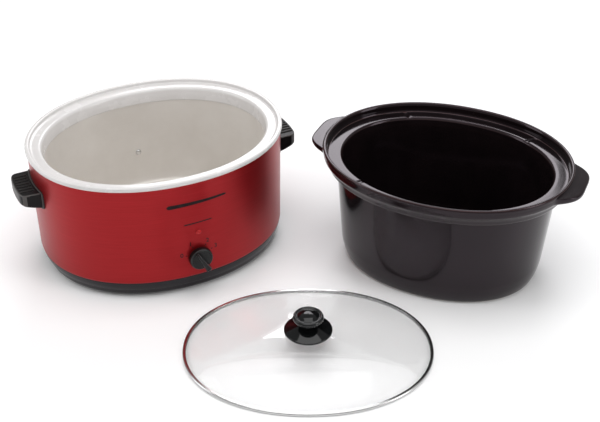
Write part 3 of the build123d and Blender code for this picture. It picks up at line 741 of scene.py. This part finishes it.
def stripe(name, x0, x1, z0, z1, h0, h1, n=60):
    """Long printed bar whose height changes along its length."""
    verts, faces = [], []
    for i in range(n + 1):
        t = i / n
        x, zc = lerp(x0, x1, t), lerp(z0, z1, t)
        h = lerp(h0, h1, t)
        cap = min(1.0, math.sqrt(max(0.0, min(t, 1 - t) * n / 3.0)))
        for s, out in ((-1, 0.02), (-1, 0.10), (1, 0.10), (1, 0.02)):
            z = zc + s * h * 0.5 * max(cap, 0.05)
            verts.append((x * MM, shell_front(x, z, out) * MM, z * MM))
    for i in range(n):
        for k in range(4):
            l = (k + 1) % 4
            faces.append((i * 4 + k, i * 4 + l, (i + 1) * 4 + l, (i + 1) * 4 + k))
    faces.append((0, 1, 2, 3))
    faces.append((n * 4 + 3, n * 4 + 2, n * 4 + 1, n * 4))
    o = mesh_object(name, verts, faces, "base", None, None, [PRINT], smooth=False)
    return done(o, "base", slot="black_plinth")


stripe("front_bar", -40, 52, 156.8, 157.6, 6.6, 3.4, 80)
stripe("front_line", -17, 28, 122.0, 122.8, 2.2, 1.8, 40)


def numeral(name, text, x, z, size):
    cu = bpy.data.curves.new(name + "_curve", "FONT")
    cu.body = text
    cu.size = size * MM
    cu.align_x = "CENTER"
    cu.align_y = "CENTER"
    cu.extrude = 0.04 * MM
    cu.offset = 0.22 * MM
    tmp = bpy.data.objects.new(name + "_tmp", cu)
    bpy.context.scene.collection.objects.link(tmp)
    bpy.context.view_layer.update()
    me = bpy.data.meshes.new_from_object(tmp.evaluated_get(bpy.context.evaluated_depsgraph_get()))
    bpy.data.objects.remove(tmp)
    bpy.data.curves.remove(cu)
    me.name = name
    for v in me.vertices:
        px, pz, d = v.co.x / MM + x, v.co.y / MM + z, v.co.z / MM
        v.co = Vector((px * MM, shell_front(px, pz, 0.06 + d) * MM, pz * MM))
    bm = bmesh.new()
    bm.from_mesh(me)
    bmesh.ops.remove_doubles(bm, verts=bm.verts, dist=1e-6)
    bmesh.ops.recalc_face_normals(bm, faces=bm.faces)
    bm.to_mesh(me)
    bm.free()
    me.materials.clear()
    me.materials.append(PRINT)
    o = bpy.data.objects.new(name, me)
    bpy.context.scene.collection.objects.link(o)
    o.matrix_world = place("base")
    return done(o, "base", slot="black_plinth")


MARKS = ((163.0, "0"), (117.5, "1"), (61.6, "2"), (23.2, "3"))
for deg, text in MARKS:
    a = math.radians(deg)
    numeral(f"dial_mark_{text}", text, DIAL_X + 28.5 * math.cos(a), DIAL_Z + 28.5 * math.sin(a), 10.0)
    c, s = math.cos(a), math.sin(a)
    t = [(DIAL_X + r * c - w * s, DIAL_Z + r * s + w * c)
         for r, w in ((20.0, -0.8), (22.6, -0.8), (22.6, 0.8), (20.0, 0.8))]
    printed(f"dial_tick_{text}", t)

lens = lathe("pilot_lens_visual", [
    (0, 3.1), (1.6, 2.9, 1.0), (3.0, 2.0, 0.8), (3.6, 1.0, 0.5), (3.9, 0.95, 0.2), (4.3, 0.8, 0.25),
    (4.3, 0.2, 0.1), (3.6, 0.2), (3.6, -1.0), (3.1, -1.0), (3.1, -8.0), (0, -8.0)], "base",
    (LAMP_X, -158.15, LAMP_Z), (0, -1, 0), 64, [LENS], step=0.8)
done(lens, "base", "pilot_lens", slot="red_lens")

# ================================================================= the knob
POINTER = math.radians(117.5)
KB = 1.6
disc = lathe("knob_disc", [
    (3.4, KB + 4.4), (9.2, KB + 4.4), (9.2, KB, 0.2), (17.4, KB, 0.5), (18.0, KB + 1.2, 0.8),
    (17.9, KB + 4.6, 1.0), (17.2, KB + 7.9, 1.3), (15.4, KB + 8.95, 1.2), (14.6, KB + 8.3, 0.5), (0, KB + 8.2)],
    "base",
    (DIAL_X, DIAL_FACE_Y, DIAL_Z), (0, -1, 0), 128, [KNOB], step=1.2)


def grip_mesh():
    """Wedge grip: wide rounded tail, narrow pointer end, softened crest."""
    ux, uz = math.cos(POINTER), math.sin(POINTER)
    rows, verts, faces, ev = [], [], [], []
    n = 44
    base_w, top_w = KB + 8.0, KB + 22.4
    for i in range(n + 1):
        t = i / n
        u = lerp(-16.5, 16.3, t)
        # half widths at foot and crest
        foot = lerp(5.9, 2.5, t ** 0.9)
        crest = lerp(4.7, 1.6, t ** 0.9)
        # crest height falls away at both ends
        e0 = max(0.0, 1 - (u + 16.5) / 3.4)
        e1 = max(0.0, (u - 12.6) / 3.7)
        h = lerp(base_w + 0.6, top_w, max(0.0, 1 - 0.42 * e0 ** 2.2 - 0.62 * e1 ** 2.0))
        shrink = 1 - 0.30 * e0 ** 2.4 - 0.35 * e1 ** 2.4
        foot, crest = foot * shrink, crest * shrink
        ring = []
        m = 20
        for k in range(m + 1):
            s = k / m
            # up one flank, over the rounded crest, down the other
            if s < 0.36:
                q = s / 0.36
                v, w = lerp(foot, crest, q), lerp(base_w, h - 1.1, q)
            elif s > 0.64:
                q = (1 - s) / 0.36
                v, w = -lerp(foot, crest, q), lerp(base_w, h - 1.1, q)
            else:
                q = (s - 0.36) / 0.28 * math.pi
                v = crest * math.copysign(abs(math.cos(q)) ** 0.7, math.cos(q))
                w = h - 1.1 + 1.1 * math.sin(q) ** 0.8 if math.sin(q) > 0 else h - 1.1
            ring.append(len(verts))
            verts.append(((DIAL_X + u * ux - v * uz) * MM, (DIAL_FACE_Y - w) * MM, (DIAL_Z + u * uz + v * ux) * MM))
            # the crest's two edges get the painted highlight lines
            ev.append(0.9 if abs(s - 0.36) < 0.06 or abs(s - 0.64) < 0.06 else 0.0)
        rows.append(ring)
    for a, b in zip(rows[:-1], rows[1:]):
        for k in range(len(a) - 1):
            faces.append((a[k], a[k + 1], b[k + 1], b[k]))
        faces.append((a[-1], a[0], b[0], b[-1]))
    faces.append(tuple(rows[0]))
    faces.append(tuple(reversed(rows[-1])))
    return mesh_object("knob_grip", verts, faces, "base", ev, None, [KNOB])


grip = sharpen(grip_mesh(), 42)
done(disc, "knob", "control_knob", slot="black_knob")
done(grip, "knob", slot="black_knob")


# ================================================================ the crock
LUG = [(0.0, 207.3), (14.0, 207.2), (24.0, 206.6), (31.0, 205.4), (37.0, 203.6), (42.0, 201.3), (47.0, 197.9),
       (52.0, 193.5), (56.5, 188.4), (60.0, 182.6), (63.0, 176.4), (67.0, 169.0)]


def lug_radius(theta):
    """Distance from the centre to the lug's outline in this direction."""
    t = abs(math.atan2(math.sin(theta), abs(math.cos(theta))))
    best = None
    angs = [math.atan2(y, x) for y, x in LUG]
    if t >= angs[-1]:
        return 0.0
    for (y0, x0), (y1, x1), a0, a1 in zip(LUG[:-1], LUG[1:], angs[:-1], angs[1:]):
        if a0 <= t <= a1:
            k = (t - a0) / (a1 - a0)
            k2 = k
            return math.hypot(lerp(x0, x1, k2), lerp(y0, y1, k2))
    return 0.0


SEG = 720
lug_table = [lug_radius(2 * math.pi * i / SEG) for i in range(SEG)]
# soften the outline's corners
for _ in range(4):
    base_r = []
    for i in range(SEG):
        cx, cy = unit_oval(2 * math.pi * i / SEG)
        base_r.append(math.hypot(186.8 * cx, 149.6 * cy))
    full = [max(a, b) for a, b in zip(lug_table, base_r)]
    lug_table = [(full[i - 2] + full[i - 1] * 2 + full[i] * 3 + full[(i + 1) % SEG] * 2 + full[(i + 2) % SEG]) / 9
                 if lug_table[i] > 0 or full[i] > base_r[i] else base_r[i] for i in range(SEG)]
lug_gain = [max(0.0, lug_table[i] - base_r[i]) for i in range(SEG)]

# rows of the crock: half-axes, height, corner radius, share of the lug
CROCK = [
    (126.0, 90.5, 1.6, 0.6, 0), (126.4, 90.9, 0.2, 0.5, 0), (139.0, 103.5, 0.1, 1.5, 0), (147.2, 111.6, 1.6, 7.0, 0),
    (152.6, 117.2, 16.0, 8.0, 0), (155.4, 120.2, 32.0, 5.0, 0), (165.5, 130.5, 158.4, 2.6, 0),
    (176.8, 139.6, 158.5, 1.6, 0), (178.9, 141.7, 160.8, 1.6, 0), (180.8, 143.6, 167.5, 3.0, 0),
    (182.6, 145.4, 171.2, 1.0, 0.02), (183.2, 146.0, 171.5, 0.6, 0.2), (183.8, 146.6, 172.0, 0.6, 0.4),
    (184.6, 147.4, 172.8, 0.6, 0.6), (185.4, 148.2, 173.9, 0.8, 0.8), (186.1, 148.9, 175.4, 1.0, 0.93),
    (186.6, 149.4, 178.4, 1.6, 1.0), (186.7, 149.5, 181.6, 0.9, 0.985), (186.72, 149.52, 182.9, 0.5, 0.94),
    (186.74, 149.54, 183.4, 0.2, 0.86), (186.76, 149.56, 183.45, 0.02, 0.7), (186.78, 149.58, 183.5, 0.02, 0.5),
    (186.8, 149.6, 183.55, 0.02, 0.3), (186.82, 149.62, 183.65, 0.02, 0.14), (186.84, 149.64, 183.9, 0.1, 0.04),
    (186.85, 149.65, 185.4, 0.9, 0), (186.1, 148.9, 187.9, 1.5, 0), (184.2, 147.0, 188.5, 1.5, 0),
    (182.2, 145.0, 187.9, 1.5, 0), (180.8, 143.6, 184.6, 1.6, 0), (179.8, 142.6, 177.0, 1.6, 0),
    (178.8, 141.6, 174.2, 1.0, 0), (160.2, 124.6, 174.2, 1.3, 0), (158.0, 122.4, 171.6, 1.8, 0),
    (156.4, 120.8, 163.0, 3.0, 0), (148.0, 112.8, 34.0, 6.0, 0), (145.8, 110.6, 18.0, 9.0, 0),
    (137.0, 101.8, 9.6, 8.0, 0), (121.0, 85.8, 8.0, 1.0, 0)]


def crock_rows():
    pts = [np.array((a, b, z, w), float) for a, b, z, r, w in CROCK]
    rad = [c[3] for c in CROCK]
    out, edge = [pts[0]], [0.0]
    n = 6
    for i in range(1, len(pts) - 1):
        p = pts[i]
        a, b = pts[i - 1] - p, pts[i + 1] - p
        la, lb = np.linalg.norm(a[:3]), np.linalg.norm(b[:3])
        ra, rb = min(rad[i], la * 0.49), min(rad[i], lb * 0.49)
        s, e = p + a / la * ra, p + b / lb * rb
        turn = 1 - float(np.dot(a[:3], -b[:3]) / (la * lb))
        for k in range(n + 1):
            t = k / n
            out.append((1 - t) ** 2 * s + 2 * t * (1 - t) * p + t * t * e)
            edge.append(min(1.0, turn * 1.4) * (1 - abs(2 * t - 1)) if rad[i] < 3.5 and p[2] > 20 else 0.0)
    out.append(pts[-1])
    edge.append(0.0)
    full, ed = [out[0]], [edge[0]]
    for p, q, e in zip(out[:-1], out[1:], edge[1:]):
        k = max(1, int(math.ceil(np.linalg.norm((q - p)[:3]) / 7.0)))
        for i in range(1, k + 1):
            full.append(p + (q - p) * i / k)
            ed.append(e if i == k else 0.0)
    return full, ed


crows, cedge = crock_rows()
NOTCH = math.atan2(105.9, 96.4)


def crock_warp(u, r, x, y, z):
    w = crows[r][3]
    i = int(round(u / (2 * math.pi) * SEG)) % SEG
    if w > 0 and lug_gain[i] > 0:
        d = math.hypot(x, y)
        k = 1 + w * lug_gain[i] / d
        x, y = x * k, y * k
    # drain notches across the ledge
    if 172.0 < z < 174.5 and 157 < crows[r][0] < 179.2:
        t = math.atan2(abs(y), abs(x))
        arc = abs(t - NOTCH) * math.hypot(x, y)
        if arc < 3.6:
            z -= 1.15 * min(1.0, (3.6 - arc) / 1.3)
    return x, y, z


def crock_mat(r):
    return 1 if crows[r][2] < 0.9 and 126.2 < crows[r][0] < 144 else 0


crock = loft("crock_visual", crows, cedge, SEG, "crock", cap=(True, True), warp=crock_warp,
             mats=[GLAZE, FOOT], row_mat=crock_mat)
done(sharpen(crock, 55), "crock", "crock", slot="stoneware")

# ================================================================== the lid
top = [(175.2, 134.2, 4.2), (170.9, 130.2, 4.25), (168.2, 127.8, 5.2), (164.4, 124.4, 8.4), (153.2, 114.8, 14.6),
       (136.4, 100.8, 20.8), (112.3, 81.6, 26.8), (84.1, 59.9, 31.6), (52.0, 36.3, 34.8), (22.0, 15.0, 35.95),
       (4.3, 4.3, 36.0)]
under = [(4.3, 4.3, 32.4), (22.0, 15.0, 32.4), (51.6, 36.0, 31.2), (83.5, 59.4, 28.0), (111.3, 80.8, 23.2),
         (135.0, 99.6, 17.2), (151.4, 113.2, 11.2), (162.6, 122.8, 5.4), (166.6, 126.4, 2.6), (170.6, 130.0, 0.75),
         (175.2, 134.2, 0.7)]


def spline_rows(pts, step):
    """Smooth curve through the rows, sampled evenly."""
    P = [np.array(p, float) for p in pts]
    out = [P[0]]
    for i in range(len(P) - 1):
        p0 = P[max(i - 1, 0)]
        p1, p2 = P[i], P[i + 1]
        p3 = P[min(i + 2, len(P) - 1)]
        k = max(2, int(np.linalg.norm(p2 - p1) / step))
        for j in range(1, k + 1):
            t = j / k
            d1 = (p2 - p0) / max(np.linalg.norm(p2 - p0), 1e-6) * np.linalg.norm(p2 - p1)
            d2 = (p3 - p1) / max(np.linalg.norm(p3 - p1), 1e-6) * np.linalg.norm(p2 - p1)
            h = ((2 * t ** 3 - 3 * t ** 2 + 1) * p1 + (t ** 3 - 2 * t ** 2 + t) * d1
                 + (-2 * t ** 3 + 3 * t ** 2) * p2 + (t ** 3 - t ** 2) * d2)
            out.append(h)
    return out


rows = spline_rows(under, 5.0) + spline_rows(top, 5.0)
gedge = [1.0 if p[0] > 168 else 0.0 for p in rows]
glass = loft("lid_glass_visual", rows, gedge, 320, "lid", closed=True, mats=[GLASS])
done(sharpen(glass, 60), "lid", "lid_glass", slot="clear_glass")

pts, ed = rounded([
    (171.0, 130.3, 0.7), (171.0, 130.3, 0.02, 0.2), (174.9, 133.9, 0.0, 0.9), (176.0, 135.0, 1.6, 1.3),
    (176.0, 135.0, 3.4, 1.2), (174.9, 133.9, 4.9, 1.2), (171.2, 130.5, 4.85, 0.3), (171.2, 130.5, 4.3),
    (175.15, 134.15, 4.25), (175.15, 134.15, 0.68), (171.0, 130.3, 0.7)], 6)
band = loft("lid_band_visual", pts[:-1], ed[:-1], 360, "lid", closed=True, mats=[BAND])
done(sharpen(band, 60), "lid", "lid_rim_band", slot="stainless")

skirt = lathe("lid_knob_skirt_visual", [
    (2.7, 36.05), (31.0, 36.05, 0.4), (33.4, 36.1, 0.6), (34.0, 36.9, 0.7), (33.0, 38.3, 1.2), (24.0, 41.6, 6.0),
    (14.4, 45.4, 4.0), (10.9, 46.9, 1.2), (2.7, 46.95)], "lid", (0, 0, 0), None, 128, [KNOB], step=1.6)
done(skirt, "lid", "lid_knob_skirt", slot="black_knob")
cap = lathe("lid_knob_visual", [
    (2.6, 47.0), (10.4, 47.0, 0.5), (9.2, 50.0, 2.0), (10.4, 53.0, 2.0), (18.4, 54.9, 2.0), (21.3, 56.2, 1.3),
    (21.5, 59.4, 1.2), (20.2, 61.8, 1.3), (18.2, 62.4, 1.0), (16.2, 61.2, 0.8), (14.6, 61.6, 0.8), (11.0, 63.9, 3.0),
    (5.0, 65.5, 3.0), (0, 65.7)], "lid", (0, 0, 0), None, 128, [KNOB], step=1.2, n=6)
done(cap, "lid", "lid_knob", slot="black_knob")

# ==================================== the CAD pieces that show as they are
CARRIED = {
    "collar_screws": ZINC, "well_rivet": STAINLESS, "heater_band": SLEEVE, "heater_strap": ZINC, "strap_bolt": ZINC,
    "thermal_fuse": BRASS, "thermal_fuse_clip": ZINC, "bottom_plate": ZINC, "rubber_feet": RUBBER,
    "tie_stud": ZINC, "tie_washer": ZINC, "tie_nut": ZINC, "handle_plates": ZINC, "handle_screws": ZINC,
    "switch_body": CREAM, "switch_nut": BRASS, "pilot_lamp": LAMP, "pilot_retainer": ZINC,
    "cord_inlet_bush": HANDLE, "terminal_block": CREAM, "internal_leads": LEADS, "switch_shaft": ZINC,
    "lid_gasket": SILICONE, "lid_washer": ZINC, "lid_screw": STAINLESS}
for node, mt in CARRIED.items():
    o = NODES[node]
    o.data.materials.clear()
    o.data.materials.append(mt)

# ================================================================= the studio
def floor():
    m = Mat("studio_floor", Roughness=0.6, IOR=1.3)
    n = m.noise(2.0, 3, 0.5)
    m.color(m.ramp(n, [(0.3, (0.972, 0.970, 0.974)), (0.7, (0.980, 0.979, 0.982))]))
    bm = bmesh.new()
    n_ = 24
    bmesh.ops.create_grid(bm, x_segments=n_, y_segments=n_, size=6.0)
    me = bpy.data.meshes.new("floor")
    bm.to_mesh(me)
    bm.free()
    me.materials.append(m.m)
    o = bpy.data.objects.new("floor", me)
    bpy.context.scene.collection.objects.link(o)


floor()
scene = bpy.context.scene
world = bpy.data.worlds.new("studio")
scene.world = world
world.use_nodes = True
world.node_tree.nodes["Background"].inputs["Color"].default_value = (1.0, 1.0, 1.0, 1)
world.node_tree.nodes["Background"].inputs["Strength"].default_value = 0.44

AIM = Vector(((228.636 - ORIGIN_X) * MM, (-27.38 - ORIGIN_Y) * MM, 0.0))
CAM_AZ, CAM_EL, CAM_DIST = -25.0, 33.684, 1.9135


def around(az, el, dist, aim=None):
    """A point seen from the camera's side: az 0 is behind the camera."""
    a, e = math.radians(CAM_AZ + az), math.radians(el)
    return (aim or AIM) + Vector((math.sin(a) * math.cos(e), -math.cos(a) * math.cos(e), math.sin(e))) * dist


def area(name, az, el, dist, w, h, power, aim, color=(1, 1, 1)):
    li = bpy.data.lights.new(name, "AREA")
    li.shape = "RECTANGLE"
    li.size, li.size_y = w, h
    li.energy = power
    li.color = color
    o = bpy.data.objects.new(name, li)
    scene.collection.objects.link(o)
    o.location = around(az, el, dist, aim)
    o.rotation_euler = (aim - o.location).to_track_quat("-Z", "Y").to_euler()
    return o


MID = Vector((0.0, 0.0, 0.08))
area("overhead", 10, 84, 2.2, 2.0, 1.6, 27, MID)
area("back_box", 176, 36, 2.4, 1.5, 0.8, 19, MID, (0.985, 0.975, 1.0))
area("left_bank", -84, 28, 2.0, 0.7, 1.5, 8, MID)
area("right_bank", 62, 24, 2.1, 0.7, 1.5, 11, MID)
area("front_fill", -8, 46, 2.8, 1.6, 1.0, 2.5, MID)

cam = bpy.data.cameras.new("camera")
cam.sensor_width = 36.0
cam.lens = 69.33
cam.clip_end = 50
cob = bpy.data.objects.new("camera", cam)
scene.collection.objects.link(cob)
cob.location = around(0, CAM_EL, CAM_DIST)
cob.rotation_euler = (AIM - cob.location).to_track_quat("-Z", "Y").to_euler()
scene.camera = cob
scene.view_settings.view_transform = "Standard"
